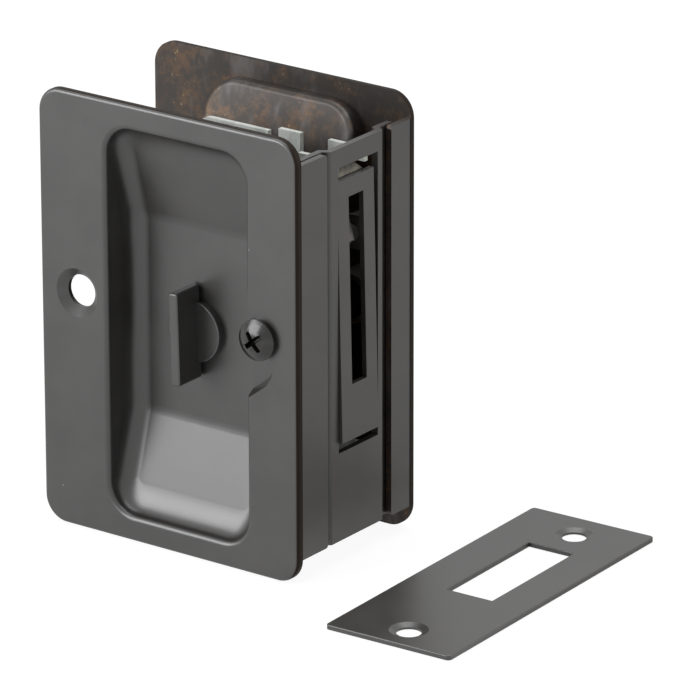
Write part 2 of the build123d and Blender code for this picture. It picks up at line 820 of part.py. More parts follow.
front_plate.part.label = "front_plate"
export_step(front_plate.part, "parts/front_plate.step")
back_plate.part.label = "back_plate"
export_step(back_plate.part, "parts/back_plate.step")
edge_frame.part.label = "edge_frame"
export_step(edge_frame.part, "parts/edge_frame.step")
edge_pull.part.label = "edge_pull"
export_step(edge_pull.part, "parts/edge_pull.step")
pull_rivets.part.label = "pull_rivets"
export_step(pull_rivets.part, "parts/pull_rivets.step")
pull_spring.part.label = "pull_spring"
export_step(pull_spring.part, "parts/pull_spring.step")
case_front_side.part.label = "case_front_side"
export_step(case_front_side.part, "parts/case_front_side.step")
case_back_side.part.label = "case_back_side"
export_step(case_back_side.part, "parts/case_back_side.step")
case_spacers.part.label = "case_spacers"
export_step(case_spacers.part, "parts/case_spacers.step")
hook_bolt.part.label = "hook_bolt"
export_step(hook_bolt.part, "parts/hook_bolt.step")
hook_hub.part.label = "hook_hub"
export_step(hook_hub.part, "parts/hook_hub.step")
spindle.part.label = "spindle"
export_step(spindle.part, "parts/spindle.step")
turn.part.label = "turn"
export_step(turn.part, "parts/turn.step")
turn_clip.part.label = "turn_clip"
export_step(turn_clip.part, "parts/turn_clip.step")
release_disc.part.label = "release_disc"
export_step(release_disc.part, "parts/release_disc.step")
release_clip.part.label = "release_clip"
export_step(release_clip.part, "parts/release_clip.step")
detent_spring.part.label = "detent_spring"
export_step(detent_spring.part, "parts/detent_spring.step")
screw_posts.part.label = "screw_posts"
export_step(screw_posts.part, "parts/screw_posts.step")
through_screw.part.label = "through_screw"
export_step(through_screw.part, "parts/through_screw.step")
strike_plate.part.label = "strike_plate"
export_step(strike_plate.part, "parts/strike_plate.step")
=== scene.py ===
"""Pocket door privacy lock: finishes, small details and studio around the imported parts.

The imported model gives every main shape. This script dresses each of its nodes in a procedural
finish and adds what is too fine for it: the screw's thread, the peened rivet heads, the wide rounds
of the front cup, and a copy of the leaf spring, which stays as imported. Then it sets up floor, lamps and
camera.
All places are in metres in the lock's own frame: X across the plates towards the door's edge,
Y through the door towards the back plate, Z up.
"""
import logging
import math
from dataclasses import dataclass, field
from enum import Enum
from typing import Sequence

import bpy
from mathutils import Matrix, Vector


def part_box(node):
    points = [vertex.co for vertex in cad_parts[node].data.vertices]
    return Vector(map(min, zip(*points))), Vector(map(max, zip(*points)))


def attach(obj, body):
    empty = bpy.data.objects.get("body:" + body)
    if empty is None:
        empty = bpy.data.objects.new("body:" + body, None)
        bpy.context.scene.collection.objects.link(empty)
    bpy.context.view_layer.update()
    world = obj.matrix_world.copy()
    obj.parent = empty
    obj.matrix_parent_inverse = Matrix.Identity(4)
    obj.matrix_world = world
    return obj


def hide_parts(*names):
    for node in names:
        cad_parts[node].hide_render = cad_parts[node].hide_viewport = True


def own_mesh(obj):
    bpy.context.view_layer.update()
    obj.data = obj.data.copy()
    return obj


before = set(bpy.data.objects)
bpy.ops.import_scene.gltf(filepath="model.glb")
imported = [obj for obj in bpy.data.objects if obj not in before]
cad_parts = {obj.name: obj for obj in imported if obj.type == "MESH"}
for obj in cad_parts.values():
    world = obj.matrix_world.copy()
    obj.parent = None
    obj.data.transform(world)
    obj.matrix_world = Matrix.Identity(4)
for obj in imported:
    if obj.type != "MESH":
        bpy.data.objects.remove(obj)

LOG = logging.getLogger("pocket_door_lock")
MM = 0.001
SPACER_RADIUS = 2.0 * MM
SCREW_AXIS = (20.4 * MM, 44.925 * MM)
PLATE_FACE = -0.75 * MM
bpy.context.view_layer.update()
WHITE = (1.0, 1.0, 1.0)
Colour = tuple[float, float, float]
Pattern = tuple[float, float, float]  # cells per metre, octaves, strength of the finer octaves
Look = tuple[bpy.types.NodeSocket, "Signal", "Signal | float"]


class Body(str, Enum):
    """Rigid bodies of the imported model."""

    LOCK = "lock"
    TURN = "turn_and_hook"
    PULL = "edge_pull"


class Slot(str, Enum):
    """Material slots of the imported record."""

    BRONZE = "bronze_paint"
    SCREW = "bronze_screw"
    ZINC = "zinc_plate"
    STEEL = "steel"


class Signal:
    """A node's socket that can be used in Python expressions."""

    def __init__(self, graph: "Tree", socket: bpy.types.NodeSocket) -> None:
        """Keep the tree that owns the socket.

        Args:
            graph: Tree that new Math nodes are added to.
            socket: Output socket that carries the value.
        """
        self.graph = graph
        self.socket = socket

    def _math(self, operation: str, *values: "Signal | float") -> "Signal":
        """Add a Math node.

        Args:
            operation: Blender's name of the operation.
            values: Inputs in order.

        Returns:
            The node's result.
        """
        node = self.graph.node("ShaderNodeMath", {"operation": operation}, dict(enumerate(values)))
        return Signal(self.graph, node.outputs[0])

    def __add__(self, other: "Signal | float") -> "Signal":
        """Sum."""
        return self._math("ADD", self, other)

    __radd__ = __add__

    def __sub__(self, other: "Signal | float") -> "Signal":
        """Difference."""
        return self._math("SUBTRACT", self, other)

    def __rsub__(self, other: float) -> "Signal":
        """Difference from a number."""
        return self._math("SUBTRACT", other, self)

    def __mul__(self, other: "Signal | float") -> "Signal":
        """Product."""
        return self._math("MULTIPLY", self, other)

    __rmul__ = __mul__

    def __truediv__(self, other: "Signal | float") -> "Signal":
        """Quotient."""
        return self._math("DIVIDE", self, other)

    def __neg__(self) -> "Signal":
        """Opposite."""
        return self._math("MULTIPLY", self, -1.0)

    def above(self, level: "Signal | float") -> "Signal":
        """One where the value is over a level, and zero elsewhere."""
        return self._math("GREATER_THAN", self, level)

    def larger(self, other: "Signal | float") -> "Signal":
        """The larger of two values."""
        return self._math("MAXIMUM", self, other)

    def smaller(self, other: "Signal | float") -> "Signal":
        """The smaller of two values."""
        return self._math("MINIMUM", self, other)

    def size(self) -> "Signal":
        """Absolute value."""
        return self._math("ABSOLUTE", self)

    def root(self) -> "Signal":
        """Square root."""
        return self._math("SQRT", self)

    def step(self, low: float, high: float) -> "Signal":
        """Smooth rise from 0 at low to 1 at high.

        Args:
            low: Value at which the rise starts.
            high: Value at which it ends.

        Returns:
            The smoothed value.
        """
        settings = {"interpolation_type": "SMOOTHSTEP"}
        inputs = {"Value": self, "From Min": low, "From Max": high}
        node = self.graph.node("ShaderNodeMapRange", settings, inputs)
        return Signal(self.graph, node.outputs["Result"])


class Tree:
    """Any node tree, with one way to add a node and set its inputs."""

    tree: bpy.types.NodeTree

    def node(self, kind: str, settings: dict | None = None, inputs: dict | None = None) -> bpy.types.Node:
        """Add one node.

        Args:
            kind: Blender's node type.
            settings: Properties of the node.
            inputs: Values, sockets or signals by the socket's name or number.

        Returns:
            The new node.
        """
        made = self.tree.nodes.new(kind)
        for key, value in (settings or {}).items():
            setattr(made, key, value)
        for key, value in (inputs or {}).items():
            if isinstance(value, Signal):
                self.tree.links.new(value.socket, made.inputs[key])
            elif isinstance(value, bpy.types.NodeSocket):
                self.tree.links.new(value, made.inputs[key])
            else:
                made.inputs[key].default_value = value
        return made


class Blocks(Tree):
    """Geometry Nodes group with named inputs, which are set by their identifiers."""

    KINDS = {float: "NodeSocketFloat", tuple: "NodeSocketVector", bpy.types.Material: "NodeSocketMaterial"}

    def __init__(self, name: str, **values: "float | tuple | bpy.types.Material") -> None:
        """Make the group with its inputs.

        Args:
            name: Name of the group.
            values: Each named input's value; its type gives the socket's.
        """
        self.tree = bpy.data.node_groups.new(name, "GeometryNodeTree")
        self.values: dict[str, object] = {}
        for direction in ("INPUT", "OUTPUT"):
            self.tree.interface.new_socket("Geometry", in_out=direction, socket_type="NodeSocketGeometry")
        for label, value in values.items():
            kind = self.KINDS[type(value)]
            socket = self.tree.interface.new_socket(label, in_out="INPUT", socket_type=kind)
            self.values[socket.identifier] = value
        self.entry = self.node("NodeGroupInput")

    def value(self, label: str) -> Signal:
        """A named input as a signal.

        Args:
            label: Name of the input.

        Returns:
            Its signal.
        """
        return Signal(self, self.entry.outputs[label])

    def vector(self, x: "Signal | float", y: "Signal | float", z: "Signal | float") -> bpy.types.NodeSocket:
        """Join three numbers into a vector's socket."""
        return self.node("ShaderNodeCombineXYZ", inputs={0: x, 1: y, 2: z}).outputs[0]

    def axes(self, socket: bpy.types.NodeSocket) -> tuple[Signal, ...]:
        """Split a vector's socket into its three numbers."""
        split = self.node("ShaderNodeSeparateXYZ", inputs={0: socket})
        return tuple(Signal(self, output) for output in split.outputs)

    def end(self, geometry: bpy.types.NodeSocket) -> None:
        """Send the finished geometry to the group's output."""
        self.node("NodeGroupOutput", inputs={0: geometry})

    def put_on(self, piece: bpy.types.Object) -> None:
        """Add the group to an object as a modifier and set its inputs.

        Args:
            piece: Object that the group works on.
        """
        modifier = piece.modifiers.new(self.tree.name, "NODES")
        modifier.node_group = self.tree
        for identifier, value in self.values.items():
            modifier[identifier] = value

    def settle(self, name: str, base: bpy.types.Mesh) -> bpy.types.Object:
        """Run the group on a mesh and keep what comes out as a plain mesh.

        Args:
            name: Name of the new piece.
            base: Mesh that goes in.

        Returns:
            The new piece, at the origin.
        """
        maker = bpy.data.objects.new(name + "_maker", base)
        bpy.context.scene.collection.objects.link(maker)
        self.put_on(maker)
        bpy.context.view_layer.update()
        mesh = bpy.data.meshes.new_from_object(maker.evaluated_get(bpy.context.evaluated_depsgraph_get()))
        bpy.data.objects.remove(maker)
        return show(name, mesh)


def show(name: str, mesh: bpy.types.Mesh) -> bpy.types.Object:
    """Put a mesh into the scene as a piece at the origin.

    Args:
        name: Name of the piece.
        mesh: Its mesh.

    Returns:
        The new piece.
    """
    mesh.name = name
    piece = bpy.data.objects.new(name, mesh)
    bpy.context.scene.collection.objects.link(piece)
    LOG.info("made %s with %d faces", name, len(mesh.polygons))
    return piece


class Graph(Tree):
    """Node tree of one material."""

    def __init__(self, name: str) -> None:
        """Make an empty material.

        Args:
            name: Name of the material.
        """
        self.material = bpy.data.materials.new(name)
        self.material.use_nodes = True
        self.tree = self.material.node_tree
        self.tree.nodes.clear()
        self.coordinates = self.node("ShaderNodeTexCoord")

    def axes(self, output: str = "Object") -> tuple[Signal, Signal, Signal]:
        """Split a coordinate into its parts.

        Args:
            output: Output of the Texture Coordinate node.

        Returns:
            X, Y and Z.
        """
        split = self.node("ShaderNodeSeparateXYZ", inputs={0: self.coordinates.outputs[output]})
        return tuple(Signal(self, split.outputs[i]) for i in range(3))

    def noise(self, scale: float, detail: float = 2.0, rough: float = 0.5, stretch: Colour = (1, 1, 1),
              shift: Colour = (0, 0, 0)) -> Signal:
        """Noise on object coordinates.

        Args:
            scale: Cells per metre.
            detail: Octaves.
            rough: Strength of the finer octaves.
            stretch: Scale along each axis.
            shift: Offset of the pattern, in metres.

        Returns:
            The noise, about 0.5.
        """
        place = self.node("ShaderNodeMapping", inputs={
            "Vector": self.coordinates.outputs["Object"], "Scale": stretch, "Location": shift})
        made = self.node("ShaderNodeTexNoise", inputs={
            "Vector": place.outputs[0], "Scale": scale, "Detail": detail, "Roughness": rough})
        return Signal(self, made.outputs["Fac"])

    def cells(self, scale: float, shift: Colour = (0, 0, 0)) -> tuple[Signal, Signal]:
        """Voronoi cells on object coordinates.

        Args:
            scale: Cells per metre.
            shift: Offset of the pattern, in metres.

        Returns:
            Distance to the nearest centre, in cells, and a random value for each cell.
        """
        place = self.node("ShaderNodeMapping", inputs={
            "Vector": self.coordinates.outputs["Object"], "Location": shift})
        made = self.node("ShaderNodeTexVoronoi", inputs={"Vector": place.outputs[0], "Scale": scale})
        split = self.node("ShaderNodeSeparateColor", inputs={0: made.outputs["Color"]})
        return Signal(self, made.outputs["Distance"]), Signal(self, split.outputs[0])

    def mix(self, factor: Signal, low: "Colour | bpy.types.NodeSocket",
            high: "Colour | bpy.types.NodeSocket") -> bpy.types.NodeSocket:
        """Mix two colours.

        Args:
            factor: Share of the second colour.
            low: First colour.
            high: Second colour.

        Returns:
            The mixed colour's socket.
        """
        made = self.node("ShaderNodeMix", {"data_type": "RGBA"}, {0: factor})
        for index, value in ((6, low), (7, high)):
            if isinstance(value, bpy.types.NodeSocket):
                self.tree.links.new(value, made.inputs[index])
            else:
                made.inputs[index].default_value = (*value, 1.0)
        return made.outputs[2]

    def bump(self, height: Signal, depth: float) -> bpy.types.NodeSocket:
        """Bump from a height.

        Args:
            height: Height, from 0 to 1.
            depth: Depth of the relief, in metres.

        Returns:
            The bent normal's socket.
        """
        made = self.node("ShaderNodeBump", inputs={"Strength": 1.0, "Distance": depth, "Height": height})
        return made.outputs[0]

    def close(self, **inputs: object) -> bpy.types.Material:
        """Add the shader and the output.

        Args:
            inputs: Sockets of the shader, with spaces written as underscores.

        Returns:
            The finished material.
        """
        named = {key.replace("_", " "): value for key, value in inputs.items()}
        shader = self.node("ShaderNodeBsdfPrincipled", inputs=named)
        self.node("ShaderNodeOutputMaterial", inputs={"Surface": shader.outputs[0]})
        return self.material


@dataclass(frozen=True)
class BronzePaint:
    """Satin dark bronze paint, baked on steel sheet."""

    name: str = "dark_bronze_paint"
    base: Colour = (0.024, 0.022, 0.0205)
    pale: Colour = (0.034, 0.032, 0.030)
    dust: Colour = (0.42, 0.41, 0.39)
    rough: float = 0.36
    mirror: float = 1.86
    cloud: Pattern = (90.0, 3.0, 0.6)
    grain: Pattern = (5200.0, 2.0, 0.6)
    peel: Pattern = (1400.0, 2.0, 0.5)
    specks: float = 330.0
    speck_edge: tuple[float, float] = (0.02, 0.06)
    speck_rarity: float = 0.97
    relief: float = 0.010 * MM

    def build(self) -> bpy.types.Material:
        """Make the material.

        Returns:
            Paint with a faint cloud, orange peel and a few specks of dust.
        """
        graph = Graph(self.name)
        cloud = graph.noise(*self.cloud)
        grain = graph.noise(*self.grain)
        peel = graph.noise(*self.peel)
        distance, pick = graph.cells(self.specks)
        speck = (1 - distance.step(*self.speck_edge)) * pick.above(self.speck_rarity)
        colour = graph.mix(cloud.step(0.3, 0.7), self.base, self.pale)
        colour = graph.mix(speck * 0.7, colour, self.dust)
        rough = cloud * 0.10 + grain * 0.08 + (self.rough - 0.09)
        height = peel * 0.6 + grain * 0.4
        colour, rough, metal = self._marks(graph, colour, rough)
        normal = graph.bump(height, self.relief)
        return graph.close(Base_Color=colour, Roughness=rough, Metallic=metal, IOR=self.mirror, Normal=normal)

    def _marks(self, graph: Graph, colour: bpy.types.NodeSocket, rough: Signal) -> Look:
        """Marks that only some of the painted pieces carry.

        Args:
            graph: Material's graph.
            colour: Colour so far.
            rough: Roughness so far.

        Returns:
            Colour, roughness and metallic share with the marks.
        """
        return colour, rough, 0.0


@dataclass(frozen=True)
class PlatePaint(BronzePaint):
    """Bronze paint of a pull plate: darker edge faces, and stains with painted reflections on the side that
    faces the door.
    """

    name: str = "front_plate_paint"
    inner_sign: float = 1.0
    size: tuple[float, float] = (57.15 * MM, 82.55 * MM)
    corner: float = 4.7 * MM
    seat: float = 0.8 * MM
    edge_band: float = 0.6 * MM
    flat_facing: float = 0.45
    side_facing: tuple[float, float] = (0.35, 0.60)
    blotches: Pattern = (120.0, 5.0, 0.70)
    mottle: Pattern = (800.0, 4.0, 0.75)
    sheen_streaks: Pattern = (150.0, 3.0, 0.6)
    crumbs: Pattern = (1500.0, 3.0, 0.7)
    sheen_stretch: Colour = (1.5, 1.5, 0.5)
    sheen_shift: Colour = (0.02, 0.0, 0.03)
    crumb_shift: Colour = (0.011, 0.0, 0.004)
    rim: Colour = (0.028, 0.022, 0.018)
    rust: Colour = (0.125, 0.074, 0.042)
    brass: Colour = (0.46, 0.33, 0.17)
    bare: Colour = (0.046, 0.040, 0.036)
    sheen_grey: Colour = (0.140, 0.135, 0.132)

    def _marks(self, graph: Graph, colour: bpy.types.NodeSocket, rough: Signal) -> Look:
        """Darker edge faces, and the stained inner side with painted reflections in lighter grey streaks.

        Args:
            graph: Material's graph.
            colour: Colour so far.
            rough: Roughness so far.

        Returns:
            Colour, roughness and metallic share with the marks.
        """
        sideways, facing, _ = graph.axes("Normal")
        through = graph.axes()[1] * self.inner_sign
        turned = (1 - facing.size().above(self.flat_facing)).larger(sideways.step(*self.side_facing))
        # darker, rougher and metallic on the edge faces along the plate's outline, away from the seat
        edge_faces = self._rim(graph).above(-self.edge_band) * turned * (1 - through.above(self.seat))
        colour = graph.mix(edge_faces, colour, self.rim)
        inside = (facing * self.inner_sign).above(0.02)
        colour = graph.mix(inside, colour, self._stains(graph))
        return colour, rough + edge_faces * 0.20 + inside * 0.08, edge_faces.larger(inside * 0.75)

    def _rim(self, graph: Graph) -> Signal:
        """Signed distance to the plate's outline in the front view, in metres and negative inside."""
        across, _, height = graph.axes()
        out_x = across.size() - (self.size[0] / 2 - self.corner)
        out_z = (height - self.size[1] / 2).size() - (self.size[1] / 2 - self.corner)
        past_x, past_z = out_x.larger(0.0), out_z.larger(0.0)
        return (past_x * past_x + past_z * past_z).root() + out_x.larger(out_z).smaller(0.0) - self.corner

    def _stains(self, graph: Graph) -> bpy.types.NodeSocket:
        """Colour of the thinly coated, rust-stained side, under lighter grey vertical streaks that are painted
        reflections.

        Args:
            graph: Material's graph.

        Returns:
            Colour socket.
        """
        blotch = graph.noise(*self.blotches)
        fine = graph.noise(*self.mottle)
        sheen = graph.noise(*self.sheen_streaks, self.sheen_stretch, self.sheen_shift)
        crumbs = graph.noise(*self.crumbs, shift=self.crumb_shift)
        brown = (blotch * 0.6 + fine * 0.4).step(0.46, 0.64)
        flakes = crumbs.step(0.64, 0.70) * blotch.step(0.50, 0.62)
        # painted reflection: lighter grey vertical streaks over the bare coat
        colour = graph.mix(sheen.step(0.50, 0.75) * 0.7, self.bare, self.sheen_grey)
        colour = graph.mix(brown * 0.85, colour, self.rust)
        return graph.mix(flakes * 0.85, colour, self.brass)


@dataclass(frozen=True)
class ScrewPaint:
    """Glossy dark bronze on the oval screw head."""

    name: str = "screw_bronze"
    base: Colour = (0.010, 0.009, 0.008)
    worn: Colour = (0.034, 0.028, 0.024)
    cloud: Pattern = (700.0, 3.0, 0.6)
    grain: Pattern = (3800.0, 2.0, 0.6)
    mirror: float = 1.6
    relief: float = 0.012 * MM

    def build(self) -> bpy.types.Material:
        """Make the material."""
        graph = Graph(self.name)
        cloud = graph.noise(*self.cloud)
        grain = graph.noise(*self.grain)
        colour = graph.mix(cloud.step(0.5, 0.75), self.base, self.worn)
        rough = cloud * 0.20 + 0.10
        normal = graph.bump(grain, self.relief)
        return graph.close(Base_Color=colour, Roughness=rough, IOR=self.mirror, Normal=normal)


@dataclass(frozen=True)
class ZincPlate:
    """Bright zinc plating, mottled grey and faintly green."""

    name: str = "mottled_zinc"
    bright: Colour = (0.95, 0.97, 0.94)
    dull: Colour = (0.60, 0.63, 0.59)
    tint: Colour = (0.74, 0.79, 0.73)
    cloud: Pattern = (260.0, 4.0, 0.65)
    cloud_stretch: Colour = (1.0, 1.0, 0.6)
    spangles: float = 650.0
    grain: Pattern = (4200.0, 2.0, 0.6)
    metal: float = 0.15
    relief: float = 0.010 * MM

    def build(self) -> bpy.types.Material:
        """Make the material."""
        graph = Graph(self.name)
        cloud = graph.noise(*self.cloud, self.cloud_stretch)
        spangle, pick = graph.cells(self.spangles)
        grain = graph.noise(*self.grain)
        colour = graph.mix(cloud.step(0.42, 0.66), self.bright, self.dull)
        colour = graph.mix(pick * 0.5, colour, self.tint)
        rough = cloud * 0.25 + pick * 0.1 + 0.18
        normal = graph.bump(grain * 0.6 + spangle * 0.4, self.relief)
        return graph.close(Base_Color=colour, Roughness=rough, Metallic=self.metal, Normal=normal)


@dataclass(frozen=True)
class PlainSteel:
    """Bright spring and bar steel, lightly oiled."""

    name: str = "plain_steel"
    base: Colour = (0.40, 0.39, 0.37)
    dark: Colour = (0.20, 0.19, 0.18)
    cloud: Pattern = (220.0, 3.0, 0.6)
    lines: Pattern = (2600.0, 2.0, 0.6)
    line_stretch: Colour = (0.15, 1.0, 0.15)
    relief: float = 0.006 * MM

    def build(self) -> bpy.types.Material:
        """Make the material."""
        graph = Graph(self.name)
        cloud = graph.noise(*self.cloud)
        lines = graph.noise(*self.lines, self.line_stretch)
        colour = graph.mix(cloud.step(0.45, 0.75), self.base, self.dark)
        rough = lines * 0.15 + cloud * 0.15 + 0.20
        normal = graph.bump(lines, self.relief)
        return graph.close(Base_Color=colour, Roughness=rough, Metallic=1.0, Normal=normal)


@dataclass(frozen=True)
class ShadeBlackSteel(PlainSteel):
    """Near-black, oiled steel of the pieces inside the case: partly their own dark colour, partly painted shade
    for the shadowed inside of the case.
    """

    name: str = "shade_black_steel"
    # near-black as painted shade for the inside of the case, over the steel's own dark colour
    base: Colour = (0.012, 0.011, 0.010)
    dark: Colour = (0.005, 0.005, 0.004)


@dataclass(frozen=True)
class LeafSteel(PlainSteel):
    """Satin, slightly olive steel of the leaf spring."""

    name: str = "leaf_steel"
    base: Colour = (0.105, 0.102, 0.090)
    dark: Colour = (0.038, 0.036, 0.030)


@dataclass(frozen=True)
class HookSteel:
    """Hook bolt in two tones by height: below the nose its dark steel is painted near-black as painted shade
    inside the case, and the nose is painted a lighter grey as its lit part.
    """

    name: str = "hook_steel"
    shade_black: Colour = (0.006, 0.0055, 0.005)
    lit_grey: Colour = (0.110, 0.105, 0.100)
    nose: tuple[float, float] = (50.0 * MM, 53.0 * MM)
    grain: Pattern = (3000.0, 2.0, 0.6)
    relief: float = 0.006 * MM

    def build(self) -> bpy.types.Material:
        """Make the material."""
        graph = Graph(self.name)
        grain = graph.noise(*self.grain)
        # painted light and shade: lighter grey on the lit nose, near-black below it in the shade of the case
        height = graph.axes()[2].step(*self.nose)
        colour = graph.mix(height, self.shade_black, self.lit_grey)
        normal = graph.bump(grain, self.relief)
        return graph.close(Base_Color=colour, Roughness=grain * 0.1 + 0.35, Metallic=1 - height, Normal=normal)


class Finishes:
    """Every finish of the lock, built once."""

    def __init__(self) -> None:
        """Build the materials."""
        self.bronze = BronzePaint().build()
        self.front = PlatePaint().build()
        self.back = PlatePaint("back_plate_paint", inner_sign=-1.0, seat=-33.14 * MM).build()
        self.screw = ScrewPaint().build()
        self.zinc = ZincPlate().build()
        self.steel = PlainSteel().build()
        self.shade_black = ShadeBlackSteel().build()
        self.leaf = LeafSteel().build()
        self.hook = HookSteel().build()


def dress(nodes: Sequence[str], material: bpy.types.Material) -> None:
    """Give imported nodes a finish.

    Args:
        nodes: Names of the nodes.
        material: Finish for all of them.
    """
    for name in nodes:
        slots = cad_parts[name].data.materials
        if not slots:
            slots.append(material)
        for index in range(len(slots)):
            slots[index] = material
        LOG.info("dressed %s in %s", name, material.name)


@dataclass
class CupRounds:
    """Wide pressed rounds between the front cup's walls and its floor.

    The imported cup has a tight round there. This solid fills the bend behind a wider one, and it
    runs out on both sides of the hollow beside the screw.
    """

    finish: bpy.types.Material
    centre: tuple[float, float] = (1.9 * MM, 41.275 * MM)
    half: tuple[float, float] = (15.5 * MM, 36.475 * MM)
    corner: float = 5.5 * MM
    depth: float = 8.0 * MM
    end_depth: float = 3.0 * MM
    ramp_run: float = 18.0 * MM
    bend_reach: float = 0.82 * MM
    taper: float = 0.035
    tight: float = 1.2 * MM
    wide: float = 3.2 * MM
    end_reach: float = 4.6 * MM
    lip: float = 1.05 * MM
    lift: float = 0.012 * MM
    buried: float = 0.35 * MM
    hollow: tuple[float, float, float] = (38.0 * MM, 14.0 * MM, 8.0 * MM)
    spacing: float = 0.6 * MM
    arc_steps: int = 18
    bend_steps: int = 12
    crease: float = math.radians(40.0)

    def build(self) -> None:
        """Make the solid and let it ride on the lock."""
        rows = [self._row(place, inward) for place, inward in self._outline() if self._fade(place) > 0]
        count = len(rows[0])
        last = (len(rows) - 1) * count
        faces = [(start + k, start + count + k, start + count + (k + 1) % count, start + (k + 1) % count)
                 for start in range(0, last, count) for k in range(count)]
        faces += [tuple(range(count)), tuple(range(last + count - 1, last - 1, -1))]
        mesh = bpy.data.meshes.new("cup_rounds")
        mesh.from_pydata([place for row in rows for place in row], [], faces)
        mesh.materials.append(self.finish)
        mesh.shade_smooth()
        mesh.set_sharp_from_angle(angle=self.crease)
        rounds = show("cup_rounds", mesh)
        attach(rounds, Body.LOCK.value)

    def _outline(self) -> list[tuple[Vector, Vector]]:
        """Points of the cup's mouth with their inward directions, from above the hollow round to below it."""
        straight_x, straight_z = self.half[0] - self.corner, self.half[1] - self.corner
        points: list[tuple[Vector, Vector]] = []
        for turn, (side_x, side_z) in enumerate(((1, 1), (-1, 1), (-1, -1), (1, -1))):
            middle = Vector((self.centre[0] + side_x * straight_x, 0.0, self.centre[1] + side_z * straight_z))
            for step in range(self.arc_steps + 1):
                angle = math.radians(90.0) * (turn + step / self.arc_steps)
                outward = Vector((math.cos(angle), 0.0, math.sin(angle)))
                points.append((middle + outward * self.corner, -outward))
            corner_end, inward = points[-1]
            length = 2 * (straight_x if turn % 2 == 0 else straight_z)
            along = Vector((inward.z, 0.0, -inward.x))
            parts = int(length / self.spacing)
            points += [(corner_end + along * (length * part / parts), inward) for part in range(1, parts)]
        gap = [index for index, (place, _) in enumerate(points) if self._fade(place) <= 0]
        return points[gap[-1] + 1:] + points[:gap[0]]

    def _fade(self, place: Vector) -> float:
        """Share of the wide round: 0 beside the hollow, 1 away from it."""
        middle, reach, run = self.hollow
        if place.x < self.centre[0]:
            return 1.0
        return min(1.0, max(0.0, (abs(place.z - middle) - reach) / run))

    def _floor(self, z: float) -> float:
        """Depth of the cup's floor or ramp below the face.

        Args:
            z: Height of the place.

        Returns:
            Depth in metres.
        """
        slope = (self.depth - self.end_depth) / self.ramp_run
        past = abs(z - self.centre[1]) - (self.half[1] - self.ramp_run)
        if past <= -self.bend_reach:
            return self.depth
        if past >= self.bend_reach:
            return self.depth - slope * past
        return self.depth - slope * (past + self.bend_reach) ** 2 / (4 * self.bend_reach)

    def _row(self, place: Vector, inward: Vector) -> list[Vector]:
        """Section of the solid at one point of the mouth.

        Args:
            place: Point of the mouth.
            inward: Direction away from the wall.

        Returns:
            Points from the wall to the floor, and one in the sheet behind them.
        """
        share = self._fade(place)
        share = share * share * (3 - 2 * share)
        floor = self._floor(place.z)
        rise = min(self.tight + (self.wide - self.tight) * share, floor - self.lip)
        reach = self.tight + (self.wide + (self.end_reach - self.wide) * abs(inward.z) - self.tight) * share
        row: list[Vector] = []
        for step in range(self.bend_steps + 1):
            angle = math.radians(90.0) * step / self.bend_steps
            depth = floor
            for _ in range(3):
                inset = reach * (1 - math.cos(angle)) + depth * self.taper
                spot = place + inward * inset
                depth = self._floor(spot.z) - rise * (1 - math.sin(angle)) - self.lift
            spot.y = PLATE_FACE + depth
            row.append(spot)
        behind = place + inward * (floor * self.taper - self.buried)
        behind.y = PLATE_FACE + floor + self.buried
        return row + [behind]


@dataclass
class Plates:
    """Front and back pull plates."""

    finishes: Finishes
    dimple_rim: float = 4.6 * MM
    dimple_drawn: float = 3.40 * MM
    seam: float = 0.05 * MM

    def build(self) -> None:
        """Dress both plates, close the dimple under the screw's head and widen the front cup's rounds."""
        dress(["front_plate"], self.finishes.front)
        dress(["back_plate"], self.finishes.back)
        self._close_dimple()
        CupRounds(self.finishes.front).build()

    def _close_dimple(self) -> None:
        """Draw the right-hand dimple's rim in under the screw's head."""
        group = Blocks("dimple_rim", Outer=self.dimple_rim, Inner=self.dimple_drawn, Face=PLATE_FACE,
                       Seam=self.seam, Centre=(SCREW_AXIS[0], 0.0, SCREW_AXIS[1]))
        place = group.axes(group.node("GeometryNodeInputPosition").outputs[0])
        centre = group.axes(group.entry.outputs["Centre"])
        run, rise = place[0] - centre[0], place[2] - centre[2]
        reach = (run * run + rise * rise).root()
        seam = group.value("Seam")
        on_rim = (seam - (reach - group.value("Outer")).size()).above(0.0)
        on_face = (seam - (place[1] - group.value("Face")).size()).above(0.0)
        pull_in = group.value("Inner") / group.value("Outer") - 1
        moved = group.node("GeometryNodeSetPosition", inputs={
            "Geometry": group.entry.outputs["Geometry"], "Selection": on_rim * on_face,
            "Offset": group.vector(run * pull_in, 0.0, rise * pull_in)})
        group.end(moved.outputs[0])
        group.put_on(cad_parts["front_plate"])


@dataclass
class Edge:
    """Edge frame and its swing-out pull."""

    finishes: Finishes
    leaf_keep: float = 0.45

    def build(self) -> None:
        """Dress the frame, the pull, its rivets and its spring."""
        dress(["edge_frame", "edge_pull"], self.finishes.bronze)
        dress(["pull_rivets"], self.finishes.steel)
        dress(["pull_spring"], self.finishes.leaf)
        self._leaf()

    def _leaf(self) -> None:
        """Leaf spring, a copy of the imported one that rides on the lock, while the real one bends towards the
        case as the pull swings.
        """
        leaf = show("leaf_spring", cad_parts["pull_spring"].data.copy())
        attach(leaf, Body.LOCK.value)
        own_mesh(leaf)
        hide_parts("pull_spring")


